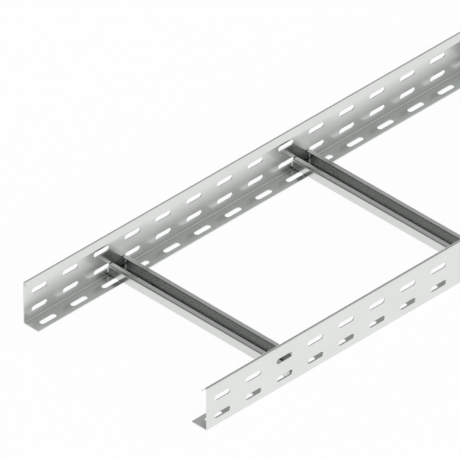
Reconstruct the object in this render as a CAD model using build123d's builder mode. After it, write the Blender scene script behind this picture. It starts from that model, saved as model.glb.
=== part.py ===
from build123d import *
from math import cos, radians, sin, tan
import os

# A section of steel cable ladder: two folded side rails, and rungs that stand on their flanges.
# Millimetres. X runs along the ladder, Y across it and Z up. The origin is in the middle of
# the underside, on the plane that the two flanges rest on.

# Whole section
ladder_length = 3000
ladder_width = 300
rail_height = 59

# Sheet that every piece is folded from, and the inner radius of every fold
sheet = 1.5
inner_bend = 0.75

# Side rail: a web, a flange turned in at the bottom, and a lip folded in and down at the top
flange_width = 25
lip_reach = 9.5
lip_angle = 45

# Slots punched in each rail: two rows in the web and one in the flange
slot_length = 25
slot_width = 7
slot_pitch = 50
web_row_height = 14
web_row_spacing = 25
flange_row_inset = 15

# Rungs: C channels that lie on their backs, open side up
rung_spacing = 300
rung_width = 30
rung_height = 14
rung_opening = 16

# Columns of slots that bolts go through, counted from each end of a rail: the first ones
# take a splice plate, in the lower row, and one in the flange is held down to a support
splice_columns = 2
hold_down_column = 17

# Sizes that follow from those above
bend = sheet + inner_bend
rail_outside = ladder_width / 2
rung_end = rail_outside - bend
rung_top = sheet + rung_height
rung_count = int(ladder_length // rung_spacing)
slot_count = int(ladder_length // slot_pitch)
columns = [(i - (slot_count - 1) / 2) * slot_pitch for i in range(slot_count)]

# A slot with six sides, as long and as wide as a round-ended one that it stands in for
# where no bolt goes through. Its ends are pointed like those of a hexagon.
point_depth = slot_width / 2 * tan(radians(30))
with BuildSketch() as plain_slot:
    with BuildLine():
        Polyline(
            (slot_length / 2, 0),
            (slot_length / 2 - point_depth, slot_width / 2),
            (point_depth - slot_length / 2, slot_width / 2),
            (-slot_length / 2, 0),
        )
        mirror(about=Plane.XZ)
    make_face()


def draw_slots(places, bolted_places):
    """Draw a slot at every place in the open sketch, with round ends at the bolted ones."""
    with Locations(*bolted_places):
        SlotOverall(slot_length, slot_width)
    with Locations(*[place for place in places if place not in bolted_places]):
        add(plain_slot.sketch)


# The front side rail: the outer skin of its section is drawn, and the sheet lies inside it
lip_slope = radians(lip_angle)
fold_corner = rail_height - bend + bend * (1 + sin(lip_slope)) / cos(lip_slope)
lip_edge = fold_corner - lip_reach * tan(lip_slope)
web_rows = (web_row_height, web_row_height + web_row_spacing)
splice_slots = columns[:splice_columns] + columns[-splice_columns:]
hold_down_slots = [columns[hold_down_column - 1], columns[-hold_down_column]]
flange_row = flange_row_inset - rail_outside
with BuildPart() as side_rail_front:
    with BuildSketch(Plane.YZ.offset(-ladder_length / 2)):
        with BuildLine():
            FilletPolyline(
                (flange_width - rail_outside, 0),
                (-rail_outside, 0),
                (-rail_outside, fold_corner),
                (lip_reach - rail_outside, lip_edge),
                radius=bend,
            )
            offset(amount=sheet, side=Side.RIGHT)
        make_face()
    extrude(amount=ladder_length)
    with BuildSketch(Plane.XZ.offset(rail_outside)):
        draw_slots(
            [(x, z) for x in columns for z in web_rows],
            [(x, web_row_height) for x in splice_slots],
        )
    extrude(amount=-sheet, mode=Mode.SUBTRACT)
    with BuildSketch(Plane.XY):
        draw_slots(
            [(x, flange_row) for x in columns],
            [(x, flange_row) for x in hold_down_slots],
        )
    extrude(amount=sheet, mode=Mode.SUBTRACT)
side_rail_front.part.label = "side_rail_front"

# The back side rail is its mirror image
with BuildPart() as side_rail_back:
    mirror(side_rail_front.part, about=Plane.XZ)
side_rail_back.part.label = "side_rail_back"

# One rung, drawn as half its section and mirrored. It stands on the flat of both flanges,
# and its ends stop where the bends up into the webs begin.
with BuildPart() as rung:
    with BuildSketch(Plane.XZ.offset(-rung_end)):
        with BuildLine():
            FilletPolyline(
                (rung_opening / 2, rung_top),
                (rung_width / 2, rung_top),
                (rung_width / 2, sheet),
                (0, sheet),
                radius=bend,
            )
            offset(amount=sheet, side=Side.RIGHT)
        make_face()
        mirror(about=Plane.YZ)
    extrude(amount=2 * rung_end)

os.makedirs("parts", exist_ok=True)
export_step(side_rail_front.part, "parts/side_rail_front.step")
export_step(side_rail_back.part, "parts/side_rail_back.step")
for i in range(rung_count):
    name = f"rung_{i + 1:02d}"
    with BuildPart() as placed_rung:
        with Locations(((i - (rung_count - 1) / 2) * rung_spacing, 0, 0)):
            add(rung.part)
    placed_rung.part.label = name
    export_step(placed_rung.part, f"parts/{name}.step")
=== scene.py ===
import math
import random

import bmesh
import bpy
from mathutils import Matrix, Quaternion, Vector


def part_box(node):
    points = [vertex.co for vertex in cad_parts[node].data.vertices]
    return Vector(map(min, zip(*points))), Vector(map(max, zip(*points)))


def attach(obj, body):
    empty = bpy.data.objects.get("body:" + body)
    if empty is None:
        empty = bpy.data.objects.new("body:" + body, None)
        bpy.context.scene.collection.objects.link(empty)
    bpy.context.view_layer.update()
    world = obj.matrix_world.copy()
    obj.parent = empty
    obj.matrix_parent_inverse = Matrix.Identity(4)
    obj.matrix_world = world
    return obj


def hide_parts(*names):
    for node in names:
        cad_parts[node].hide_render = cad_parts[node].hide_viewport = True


# A section of steel cable ladder, dressed around the frame's solids: round-ended slots, rolled
# edges and weld beads, in bright zinc-coated sheet. Metres, in the frame's own axes.

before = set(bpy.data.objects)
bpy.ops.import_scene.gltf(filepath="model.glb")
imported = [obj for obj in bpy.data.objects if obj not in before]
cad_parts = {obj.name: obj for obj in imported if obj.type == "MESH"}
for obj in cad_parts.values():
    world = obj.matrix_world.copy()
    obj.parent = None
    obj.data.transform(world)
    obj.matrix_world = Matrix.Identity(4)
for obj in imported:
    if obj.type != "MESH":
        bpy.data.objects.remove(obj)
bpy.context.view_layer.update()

# Sheet that every piece is folded from: its thickness, the outer radius of its folds, and the
# small slope that shearing and punching leave along its edges
MM = 0.001
SHEET = 1.5 * MM
BEND = 2.25 * MM
BURR = 0.15 * MM

# Side rail: the lip folded in and down at its top, its slots, the heights of the slot rows in
# the web, and how far in from the web's outer face the row in the flange lies
LIP_REACH = 9.5 * MM
LIP_ANGLE = math.radians(45)
SLOT_LENGTH = 25 * MM
SLOT_WIDTH = 7 * MM
SLOT_PITCH = 50 * MM
WEB_ROWS = (14 * MM, 39 * MM)
FLANGE_ROW = 15 * MM

# Rung: the gap between its two lips
RUNG_OPENING = 16 * MM

# Weld bead: its reach from the corner, its root under the end of the rung's wall, how deep it
# sinks into the web, and by how much at most it stops short of the rung's folds
BEAD_REACH = 1.3 * MM
BEAD_ROOT = 0.6 * MM
BEAD_SINK = 0.05 * MM
BEAD_SHORT = 0.5 * MM

# Shares of a bead's reach: its width at the root, how far its face swells out of a hollow, its
# least reach where it tapers off, and the height of its ripples
ROOT_WIDTH = 0.5
BEAD_SWELL = 0.25
BEAD_LEAST = 0.25
RIPPLE = 0.1

# Number of ripples along a bead, the power that keeps its taper close to its ends, and the
# seed of what differs from bead to bead
RIPPLES = 9
TAPER_POWER = 6
BEAD_SEED = 7

# Power that keeps the painted shade of a top fold close to the fold's middle
FOLD_SHADE_POWER = 3

# Detail: steps in a quarter turn of a fold and of a slot's end, across a bead's face, along a
# bead and around the floor
FOLD_STEPS = 8
SLOT_STEPS = 8
BEAD_STEPS = 5
BEAD_RINGS = 36
FLOOR_STEPS = 96

# Points closer than this are one point, and edges sharper than these angles stay sharp
SAME = 0.001 * MM
SHEET_EDGE = math.radians(30)
BEAD_EDGE = math.radians(60)

# How open a spot lies, which sets the painted shade: the distance at which a surface no longer
# closes it in, how far its outlook leans down from the surface's own normal, and the number of
# rays that look out
OPEN_DISTANCE = 50 * MM
OPEN_LEAN = (0, 0, -0.8)
OPEN_SAMPLES = 32

# Painted shade and light of the steel, as pairs: how open a spot lies, and what its colour is multiplied by
RAIL_PAINTED_SHADE = (
    (0.0, 0.25), (0.08, 0.37), (0.22, 0.7), (0.29, 0.8), (0.36, 0.825), (0.45, 0.79), (0.55, 0.69),
    (0.62, 0.67), (0.7, 0.74), (0.8, 0.96), (0.87, 1.015), (0.93, 0.99), (1.0, 0.985))
# On the rungs the curve rises above 1 deep in the channel: painted light there, painted shade near the rails
RUNG_PAINTED_SHADE = (
    (0.0, 0.6), (0.08, 0.8), (0.14, 1.0), (0.2, 1.1), (0.26, 1.08), (0.33, 0.94), (0.4, 0.9),
    (0.5, 0.93), (0.62, 0.955), (0.76, 0.935), (0.85, 0.945), (0.92, 0.97), (1.0, 1.0))

# Steel of the rails and of the rungs: its colour, its roughness, how many rolling marks lie on
# a metre along each axis, and how much painted shade darkens the middle of the top folds
RAIL_COLOR = (0.745, 0.765, 0.745)
RAIL_ROUGHNESS = 0.23
RAIL_MARKS = (25, 1600, 1600)
RAIL_FOLD_SHADE_DEPTH = 0.38
RUNG_COLOR = (0.70, 0.715, 0.70)
RUNG_ROUGHNESS = 0.2
RUNG_MARKS = (25, 700, 25)
RUNG_FOLD_SHADE_DEPTH = 0.5

# Steel of both: the detail and relief of its marks, the range of shares of the roughness that
# they bring, and its clouds with the range of shades that they bring
MARK_DETAIL = 3.0
MARK_RELIEF = {"strength": 0.05, "height": 0.2 * MM}
ROUGHNESS_RANGE = (0.8, 1.25)
CLOUD_SCALE = 28.0
CLOUD_DETAIL = 4.0
CLOUD_SHADES = (0.96, 1.04)

# Weld metal: its darker and lighter tones, its roughness and its grain
WELD_DARK = (0.60, 0.62, 0.60, 1)
WELD_LIGHT = (0.84, 0.86, 0.84, 1)
WELD_ROUGHNESS = 0.35
GRAIN_SCALE = 900.0
GRAIN_DETAIL = 3.0
GRAIN_RELIEF = {"strength": 0.3, "height": 0.1 * MM}

# Floor: its radius, how far it lies under the part, its grey and roughness where light falls
# on it, and the share of plain white in what the camera and the steel see of it
FLOOR_RADIUS = 60
FLOOR_DROP = 0.2 * MM
FLOOR_GREY = (0.86, 0.86, 0.86, 1)
FLOOR_ROUGHNESS = 0.9
FLOOR_WHITE = 0.93

# Studio light: its bright side, its strength as pairs (share from the far side to the bright
# side, strength), and the heights between which the bright band above the horizon fades out
BRIGHT_SIDE = (1, -1.4, 0.2)
SKY_LEVELS = (
    (0.0, 0.28), (0.13, 0.36), (0.47, 0.44), (0.70, 0.47), (0.9, 1.0), (0.95, 1.0), (1.0, 1.1))
BAND_FADE = (0.32, 0.5)

# Lamp: its strength, how wide it looks and where it shines from
LAMP_STRENGTH = 1.6
LAMP_WIDTH = math.radians(50)
LAMP_SIDE = (-0.5, -0.6, 1)

# Camera, fitted to the photograph: the point that it looks at, its distance and direction from
# there, its roll, its lens and sensor in millimetres, and the distances that it sees between
VIEW_TARGET = (-1.20151, 0.11358, 0)
VIEW_DISTANCE = 23.648
VIEW_AZIMUTH = math.radians(315.399)
VIEW_ELEVATION = math.radians(35.272)
VIEW_ROLL = math.radians(-0.311)
LENS = 1600
SENSOR = 36
NEAREST = 1
FARTHEST = 200

rail_low, rail_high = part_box("side_rail_front")
rungs = [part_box(name) for name in sorted(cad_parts) if name.startswith("rung_")]


def quarter_turn(v):
    """The vector turned a quarter anticlockwise."""
    return Vector((-v.y, v.x))


def folded_line(corners):
    """Stations (point, outward normal, painted fold shade) on the outer skin of a strip that is folded at
    each corner.

    The painted fold shade is 1 in the middle of a fold that shows on top, and 0 on the flats: painted shade
    that darkens the colour there.
    """
    corners = [Vector(c) for c in corners]
    ways = [(b - a).normalized() for a, b in zip(corners, corners[1:])]
    stations = [(corners[0], quarter_turn(ways[0]), 0)]
    for corner, before, after in zip(corners[1:], ways, ways[1:]):
        turn = before.angle(after)
        start = corner - before * BEND * math.tan(turn / 2)
        centre = start - quarter_turn(before) * BEND
        steps = max(2, round(FOLD_STEPS * turn / math.radians(90)))
        for i in range(steps + 1):
            angle = turn * i / steps
            normal = quarter_turn(before) * math.cos(angle) + before * math.sin(angle)
            # A fold that shows on top gets painted shade, strongest in its middle
            painted_fold_shade = math.sin(math.pi * i / steps) ** FOLD_SHADE_POWER if normal.y > 0 else 0
            stations.append((centre + normal * BEND, normal, painted_fold_shade))
    stations.append((corners[-1], quarter_turn(ways[-1]), 0))
    return stations


def add_stations(stations, points):
    """The stations with one more at each point, which lies on a flat between two of them."""
    for point in [Vector(p) for p in points]:
        for i, ((a, normal, _), (b, _, _)) in enumerate(zip(stations, stations[1:])):
            if (point - a).length + (b - point).length - (b - a).length < SAME:
                stations = stations[:i + 1] + [(point, normal, 0)] + stations[i + 1:]
                break
    return stations


def section_loop(stations, inset):
    """The closed outline of the folded strip, with its edges sloped off, and inset by so much."""
    first = (stations[1][0] - stations[0][0]).normalized()
    last = (stations[-2][0] - stations[-1][0]).normalized()
    (p, n, _), (q, m, _) = stations[0], stations[-1]
    skin = [(p + first * BURR, n)]
    skin += [station[:2] for station in stations[1:-1]]
    skin += [(q + last * BURR, m)]
    outer = [point - normal * inset for point, normal in skin]
    inner = [point - normal * (SHEET - inset) for point, normal in skin]
    p, q = p + first * inset, q + last * inset
    return (
        outer
        + [q - m * BURR, q - m * (SHEET - BURR)]
        + inner[::-1]
        + [p - n * (SHEET - BURR), p - n * BURR]
    )


def half_slot(side, grow):
    """Half the outline of a slot, from its left end to its right end, as (along, across)."""
    straight = (SLOT_LENGTH - SLOT_WIDTH) / 2
    radius = SLOT_WIDTH / 2 + grow
    points = []
    for centre, start in ((-straight, 180), (straight, 90)):
        for i in range(SLOT_STEPS + 1):
            angle = math.radians(start - 90 * i / SLOT_STEPS)
            points.append((centre + radius * math.cos(angle), side * radius * math.sin(angle)))
    return points


def add_slot(bm, stations, i, middle, to_frame, skins, before, after):
    """A slot at station i, and the sheet around it on both skins, between two sections of the strip."""
    point, normal, _ = stations[i]
    across = (stations[i + 1][0] - point).normalized()
    rings = []
    for depth, grow in ((0, BURR), (BURR, 0), (SHEET - BURR, 0), (SHEET, BURR)):
        halves = []
        for side in (1, -1):
            halves.append([
                bm.verts.new(to_frame(middle + s, point + across * t - normal * depth))
                for s, t in half_slot(side, grow)
            ])
        halves[1][0], halves[1][-1] = halves[0][0], halves[0][-1]
        rings.append(halves)
    for near, far in zip(rings, rings[1:]):
        for a, b in zip(near, far):
            for v in range(len(a) - 1):
                bm.faces.new((a[v], a[v + 1], b[v + 1], b[v]))
    for halves, skin in zip((rings[0], rings[-1]), skins):
        for half, other in zip(halves, (i + 1, i - 1)):
            bm.faces.new((
                before[skin[i]], *half, after[skin[i]], after[skin[other]], before[skin[other]]
            ))


def folded_bar(name, stations, places, to_frame, rows=()):
    """A folded strip that runs through places along its length, with a slot between each two at each row."""
    bm = bmesh.new()
    # Each point carries how much painted shade its top fold gets
    painted_fold_shade_layer = bm.verts.layers.float.new("painted_fold_shade")
    count = len(stations)

    def section_at(along, inset):
        loop = [bm.verts.new(to_frame(along, p)) for p in section_loop(stations, inset)]
        for vertex, (_, _, painted_fold_shade) in zip(loop, stations):
            vertex[painted_fold_shade_layer] = painted_fold_shade
        return loop

    inner_places = [places[0] + BURR, *places[1:-1], places[-1] - BURR]
    sections = [section_at(along, 0) for along in inner_places]
    ends = [section_at(along, BURR) for along in (places[0], places[-1])]
    size = len(sections[0])

    # The number that each station's point has in a section, on the outer and on the inner skin
    outer = list(range(count))
    inner = [2 * count + 1 - i for i in outer]
    row_stations = {
        i for i, (p, _, _) in enumerate(stations)
        if any((p - Vector(row)).length < SAME for row in rows)
    }
    slotted = {i for i in range(count - 1) if {i, i + 1} & row_stations}
    covered = slotted | {inner[i + 1] for i in slotted}

    for before, after in zip([ends[0], *sections], [*sections, ends[1]]):
        at_end = before is ends[0] or after is ends[1]
        for i in range(size):
            j = (i + 1) % size
            if at_end or i not in covered:
                bm.faces.new((before[i], before[j], after[j], after[i]))
    for end in ends:
        for i in range(count - 1):
            bm.faces.new((end[i], end[i + 1], end[inner[i + 1]], end[inner[i]]))
    for k, (before, after) in enumerate(zip(sections, sections[1:])):
        middle = (places[k] + places[k + 1]) / 2
        for i in row_stations:
            add_slot(bm, stations, i, middle, to_frame, (outer, inner), before, after)

    loose = [v for v in bm.verts if not v.link_faces]
    bmesh.ops.delete(bm, geom=loose, context="VERTS")
    bmesh.ops.remove_doubles(bm, verts=bm.verts, dist=SAME)
    return finished(name, bm, SHEET_EDGE)


def finished(name, bm, sharp_angle):
    """An object of the mesh, smooth across its bends and sharp along edges past the angle."""
    bmesh.ops.recalc_face_normals(bm, faces=bm.faces)
    mesh = bpy.data.meshes.new(name)
    bm.to_mesh(mesh)
    bm.free()
    mesh.shade_smooth()
    mesh.set_sharp_from_angle(angle=sharp_angle)
    piece = bpy.data.objects.new(name, mesh)
    bpy.context.scene.collection.objects.link(piece)
    weighted = piece.modifiers.new("flat_faces_stay_flat", "WEIGHTED_NORMAL")
    weighted.keep_sharp = True
    return piece


def make_rails():
    """Both side rails, each with its two rows of slots in the web and one in the flange."""
    height = rail_high.z
    flange = rail_high.y - rail_low.y
    fold_corner = height - BEND + BEND * (1 + math.sin(LIP_ANGLE)) / math.cos(LIP_ANGLE)
    lip_edge = fold_corner - LIP_REACH * math.tan(LIP_ANGLE)
    rows = [(FLANGE_ROW, 0), *[(0, row) for row in WEB_ROWS]]
    between_rows = (0, sum(WEB_ROWS) / 2)
    stations = folded_line([(flange, 0), (0, 0), (0, fold_corner), (LIP_REACH, lip_edge)])
    stations = add_stations(stations, [*rows, between_rows])
    columns = round((rail_high.x - rail_low.x) / SLOT_PITCH)
    places = [rail_low.x + i * SLOT_PITCH for i in range(columns + 1)]
    rails = []
    for side, way in (("front", 1), ("back", -1)):
        rail = folded_bar(
            f"side_rail_{side}_sheet", stations, places,
            lambda along, p, way=way: (along, way * (rail_low.y + p.x), p.y), rows)
        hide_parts(f"side_rail_{side}")
        rails.append(rail)
    return rails


def make_rungs():
    """Every rung, as a C channel on its back."""
    made = []
    lip = RUNG_OPENING / 2
    for number, (low, high) in enumerate(rungs, 1):
        middle = (low.x + high.x) / 2
        half = (high.x - low.x) / 2
        right = [(lip, high.z), (half, high.z), (half, low.z)]
        left = [(-half, low.z), (-half, high.z), (-lip, high.z)]
        rung = folded_bar(
            f"rung_{number:02d}_channel", folded_line(right + left), [low.y, high.y],
            lambda along, p, middle=middle: (middle + p.x, along, p.y))
        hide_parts(f"rung_{number:02d}")
        made.append(rung)
    return made


def bead_outline(corner, way, up, reach):
    """The plan of a weld bead in the corner of a rung's wall and a web, as (x, y, z) points."""
    x, y = corner
    along, across = way
    root = x - along * BEAD_ROOT
    points = [(root, y), (root, y + across * reach * ROOT_WIDTH), (x, y + across * reach)]
    for i in range(1, BEAD_STEPS):
        angle = math.radians(90 * i / BEAD_STEPS)
        hollow = reach * (1 - BEAD_SWELL * math.sin(2 * angle))
        points.append((
            x + along * (reach - hollow * math.cos(angle)),
            y + across * (reach - hollow * math.sin(angle)),
        ))
    points.append((x + along * reach, y))
    return [(px, py - across * BEAD_SINK, up) for px, py in points]


def add_bead(bm, corner, way, bottom, top, phase):
    """An upright weld bead, rippled along its length and tapered towards both ends."""
    previous = None
    for i in range(BEAD_RINGS + 1):
        share = i / BEAD_RINGS
        taper = 1 - abs(2 * share - 1) ** TAPER_POWER
        ripple = 1 + RIPPLE * math.sin(phase + share * math.tau * RIPPLES)
        reach = BEAD_REACH * max(taper, BEAD_LEAST) * ripple
        up = bottom + (top - bottom) * share
        ring = [bm.verts.new(v) for v in bead_outline(corner, way, up, reach)]
        if previous:
            for a in range(len(ring)):
                b = (a + 1) % len(ring)
                bm.faces.new((previous[a], previous[b], ring[b], ring[a]))
        else:
            bm.faces.new(ring)
        previous = ring
    bm.faces.new(previous)


def make_welds(number, low, high):
    """The weld beads on both sides of both walls of a rung, at its two ends."""
    bm = bmesh.new()
    web = -rail_low.y - SHEET
    for wall, out in ((low.x, -1), (high.x, 1)):
        for face, along in ((wall, out), (wall - out * SHEET, -out)):
            for side in (-1, 1):
                phase = random.uniform(0, math.tau)
                bottom = low.z + BEND + random.uniform(0, BEAD_SHORT)
                top = high.z - BEND - random.uniform(0, BEAD_SHORT)
                add_bead(bm, (face, side * web), (along, -side), bottom, top, phase)
    return finished(f"rung_{number:02d}_welds", bm, BEAD_EDGE)


# Materials


def new_material(name):
    """A material, its node tree and its Principled shader."""
    material = bpy.data.materials.new(name)
    material.use_nodes = True
    tree = material.node_tree
    return material, tree, tree.nodes["Principled BSDF"]


def combined(tree, operation, first, second):
    """The two outputs joined by an operation, such as MULTIPLY or MAXIMUM."""
    node = tree.nodes.new("ShaderNodeMath")
    node.operation = operation
    tree.links.new(first, node.inputs[0])
    tree.links.new(second, node.inputs[1])
    return node.outputs["Value"]


def spread(tree, value, low, high):
    """The value, which runs from 0 to 1, made to run from low to high."""
    node = tree.nodes.new("ShaderNodeMapRange")
    node.inputs["To Min"].default_value = low
    node.inputs["To Max"].default_value = high
    tree.links.new(value, node.inputs["Value"])
    return node.outputs["Result"]


def looked_up(tree, share, points):
    """The value that a smooth curve through the points gives for the share."""
    node = tree.nodes.new("ShaderNodeFloatCurve")
    curve = node.mapping.curves[0]
    for end, point in zip(curve.points, (points[0], points[-1])):
        end.location = point
    for point in points[1:-1]:
        curve.points.new(*point)
    for point in curve.points:
        point.handle_type = "AUTO_CLAMPED"
    node.mapping.update()
    tree.links.new(share, node.inputs["Value"])
    return node.outputs["Value"]


def noise(tree, place, scale, detail):
    """Soft noise over the place, from 0 to 1."""
    node = tree.nodes.new("ShaderNodeTexNoise")
    node.inputs["Scale"].default_value = scale
    node.inputs["Detail"].default_value = detail
    tree.links.new(place, node.inputs["Vector"])
    return node.outputs["Fac"]


def add_relief(tree, shader, bumps, strength, height):
    """Fine relief on the shader, which follows the bumps."""
    node = tree.nodes.new("ShaderNodeBump")
    node.inputs["Strength"].default_value = strength
    node.inputs["Distance"].default_value = height
    tree.links.new(bumps, node.inputs["Height"])
    tree.links.new(node.outputs["Normal"], shader.inputs["Normal"])


def openness(tree):
    """How open a spot lies, from 0 deep in a corner to 1 with nothing near, when its outlook leans down."""
    surface = tree.nodes.new("ShaderNodeNewGeometry")
    lean = tree.nodes.new("ShaderNodeVectorMath")
    lean.operation = "ADD"
    lean.inputs[1].default_value = OPEN_LEAN
    tree.links.new(surface.outputs["Normal"], lean.inputs[0])
    outlook = tree.nodes.new("ShaderNodeVectorMath")
    outlook.operation = "NORMALIZE"
    tree.links.new(lean.outputs["Vector"], outlook.inputs[0])
    node = tree.nodes.new("ShaderNodeAmbientOcclusion")
    node.samples = OPEN_SAMPLES
    node.inputs["Distance"].default_value = OPEN_DISTANCE
    tree.links.new(outlook.outputs["Vector"], node.inputs["Normal"])
    return node.outputs["AO"]


def steel(name, color, roughness, mark_scale, painted_shade, fold_shade_depth):
    """Bright zinc-coated sheet: fine rolling marks, soft clouds, painted shade along the top folds, and
    painted shade and light by how closed in a spot lies.
    """
    material, tree, shader = new_material(name)
    shader.inputs["Metallic"].default_value = 1.0

    place = tree.nodes.new("ShaderNodeTexCoord").outputs["Object"]
    rolled = tree.nodes.new("ShaderNodeMapping")
    rolled.inputs["Scale"].default_value = mark_scale
    tree.links.new(place, rolled.inputs["Vector"])
    marks = noise(tree, rolled.outputs["Vector"], 1.0, MARK_DETAIL)
    clouds = noise(tree, place, CLOUD_SCALE, CLOUD_DETAIL)

    # Painted shade: the colour darkens along the middle of the top folds
    fold_shade_mask = tree.nodes.new("ShaderNodeAttribute")
    fold_shade_mask.attribute_name = "painted_fold_shade"
    fold_shaded = spread(tree, fold_shade_mask.outputs["Fac"], 1.0, 1.0 - fold_shade_depth)
    # Painted shade and light: the colour darkens where nearby surfaces close a spot in, and on the rungs it
    # lightens deep in the channel
    painted_shade_and_clouds = looked_up(tree, openness(tree), painted_shade)
    painted_shade_and_clouds = combined(tree, "MULTIPLY", painted_shade_and_clouds, spread(tree, clouds, *CLOUD_SHADES))
    painted_shade_and_clouds = combined(tree, "MULTIPLY", painted_shade_and_clouds, fold_shaded)
    tint = tree.nodes.new("ShaderNodeVectorMath")
    tint.operation = "SCALE"
    tint.inputs[0].default_value = color
    tree.links.new(painted_shade_and_clouds, tint.inputs["Scale"])
    tree.links.new(tint.outputs["Vector"], shader.inputs["Base Color"])

    smoothest, roughest = [roughness * share for share in ROUGHNESS_RANGE]
    tree.links.new(spread(tree, marks, smoothest, roughest), shader.inputs["Roughness"])
    add_relief(tree, shader, marks, **MARK_RELIEF)
    return material


def weld_metal():
    """Bright grainy weld metal, a little rougher than the sheet."""
    material, tree, shader = new_material("weld_steel")
    shader.inputs["Metallic"].default_value = 1.0
    shader.inputs["Roughness"].default_value = WELD_ROUGHNESS
    place = tree.nodes.new("ShaderNodeTexCoord").outputs["Object"]
    grains = noise(tree, place, GRAIN_SCALE, GRAIN_DETAIL)
    tones = tree.nodes.new("ShaderNodeMix")
    tones.data_type = "RGBA"
    tones.inputs["A"].default_value = WELD_DARK
    tones.inputs["B"].default_value = WELD_LIGHT
    tree.links.new(grains, tones.inputs["Factor"])
    tree.links.new(tones.outputs["Result"], shader.inputs["Base Color"])
    add_relief(tree, shader, grains, **GRAIN_RELIEF)
    return material


# Stage, light and camera


def floor_paint():
    """Pale grey where light falls on it, and nearly plain white to the camera and in the steel."""
    material, tree, shader = new_material("floor")
    shader.inputs["Base Color"].default_value = FLOOR_GREY
    shader.inputs["Roughness"].default_value = FLOOR_ROUGHNESS
    shader.inputs["Specular IOR Level"].default_value = 0.0
    ray = tree.nodes.new("ShaderNodeLightPath")
    seen = combined(tree, "MAXIMUM", ray.outputs["Is Camera Ray"], ray.outputs["Is Glossy Ray"])
    white = tree.nodes.new("ShaderNodeEmission")
    mix = tree.nodes.new("ShaderNodeMixShader")
    tree.links.new(spread(tree, seen, 0.0, FLOOR_WHITE), mix.inputs["Fac"])
    tree.links.new(shader.outputs["BSDF"], mix.inputs[1])
    tree.links.new(white.outputs["Emission"], mix.inputs[2])
    tree.links.new(mix.outputs["Shader"], tree.nodes["Material Output"].inputs["Surface"])
    return material


def make_floor():
    """A floor that takes the part's soft shadow, and doesn't shut out the light from below."""
    bm = bmesh.new()
    bmesh.ops.create_circle(bm, cap_ends=True, segments=FLOOR_STEPS, radius=FLOOR_RADIUS)
    mesh = bpy.data.meshes.new("floor")
    bm.to_mesh(mesh)
    bm.free()
    mesh.materials.append(floor_paint())
    floor = bpy.data.objects.new("floor", mesh)
    floor.location.z = -FLOOR_DROP
    floor.visible_shadow = False
    bpy.context.scene.collection.objects.link(floor)


def make_world():
    """Soft studio light: bright to the right, in front and near the horizon, greyer overhead and behind.

    The camera itself sees plain white.
    """
    world = bpy.data.worlds.new("studio")
    bpy.context.scene.world = world
    world.use_nodes = True
    tree = world.node_tree
    background = tree.nodes["Background"]
    background.inputs["Color"].default_value = (1, 1, 1, 1)

    direction = tree.nodes.new("ShaderNodeTexCoord").outputs["Generated"]
    toward = tree.nodes.new("ShaderNodeVectorMath")
    toward.operation = "DOT_PRODUCT"
    toward.inputs[1].default_value = Vector(BRIGHT_SIDE).normalized()
    tree.links.new(direction, toward.inputs[0])
    share = tree.nodes.new("ShaderNodeMapRange")
    share.inputs["From Min"].default_value = -1.0
    tree.links.new(toward.outputs["Value"], share.inputs["Value"])
    sides = looked_up(tree, share.outputs["Result"], SKY_LEVELS)

    height = tree.nodes.new("ShaderNodeSeparateXYZ")
    tree.links.new(direction, height.inputs[0])
    band = tree.nodes.new("ShaderNodeMapRange")
    band.interpolation_type = "SMOOTHSTEP"
    band.inputs["From Min"].default_value, band.inputs["From Max"].default_value = BAND_FADE
    band.inputs["To Min"].default_value, band.inputs["To Max"].default_value = 1.0, 0.0
    tree.links.new(height.outputs["Z"], band.inputs["Value"])

    ray = tree.nodes.new("ShaderNodeLightPath")
    strength = tree.nodes.new("ShaderNodeMix")
    strength.inputs["B"].default_value = 1.0
    tree.links.new(ray.outputs["Is Camera Ray"], strength.inputs["Factor"])
    tree.links.new(combined(tree, "MAXIMUM", sides, band.outputs["Result"]), strength.inputs["A"])
    tree.links.new(strength.outputs["Result"], background.inputs["Strength"])


def make_lamp():
    """One broad soft lamp on the camera's side, for the floor's light and the soft shadow."""
    sun = bpy.data.lights.new("soft_lamp", "SUN")
    sun.energy = LAMP_STRENGTH
    sun.angle = LAMP_WIDTH
    lamp = bpy.data.objects.new("soft_lamp", sun)
    lamp.rotation_euler = Vector(LAMP_SIDE).to_track_quat("Z", "Y").to_euler()
    lamp.visible_glossy = False
    bpy.context.scene.collection.objects.link(lamp)


def make_camera():
    """The photograph's view: a long lens that looks down on one end from the front left."""
    camera = bpy.data.objects.new("camera", bpy.data.cameras.new("camera"))
    bpy.context.scene.collection.objects.link(camera)
    level = math.cos(VIEW_ELEVATION)
    back = Vector((
        math.sin(VIEW_AZIMUTH) * level, -math.cos(VIEW_AZIMUTH) * level, math.sin(VIEW_ELEVATION)))
    camera.data.lens = LENS
    camera.data.sensor_width = SENSOR
    camera.data.clip_start = NEAREST
    camera.data.clip_end = FARTHEST
    camera.location = Vector(VIEW_TARGET) + back * VIEW_DISTANCE
    camera.rotation_mode = "QUATERNION"
    roll = Quaternion((0, 0, 1), VIEW_ROLL)
    camera.rotation_quaternion = (-back).to_track_quat("-Z", "Y") @ roll
    bpy.context.scene.camera = camera


bpy.context.scene.view_settings.view_transform = "Standard"
make_floor()
make_world()
make_lamp()
make_camera()

weld_steel = weld_metal()
rail_steel = steel(
    "rail_steel", RAIL_COLOR, RAIL_ROUGHNESS, RAIL_MARKS, RAIL_PAINTED_SHADE, RAIL_FOLD_SHADE_DEPTH)
rung_steel = steel(
    "rung_steel", RUNG_COLOR, RUNG_ROUGHNESS, RUNG_MARKS, RUNG_PAINTED_SHADE, RUNG_FOLD_SHADE_DEPTH)
for rail in make_rails():
    rail.data.materials.append(rail_steel)
    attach(rail, "root")
for rung in make_rungs():
    rung.data.materials.append(rung_steel)
    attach(rung, "root")
random.seed(BEAD_SEED)
for number, (low, high) in enumerate(rungs, 1):
    welds = make_welds(number, low, high)
    welds.data.materials.append(weld_steel)
    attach(welds, "root")
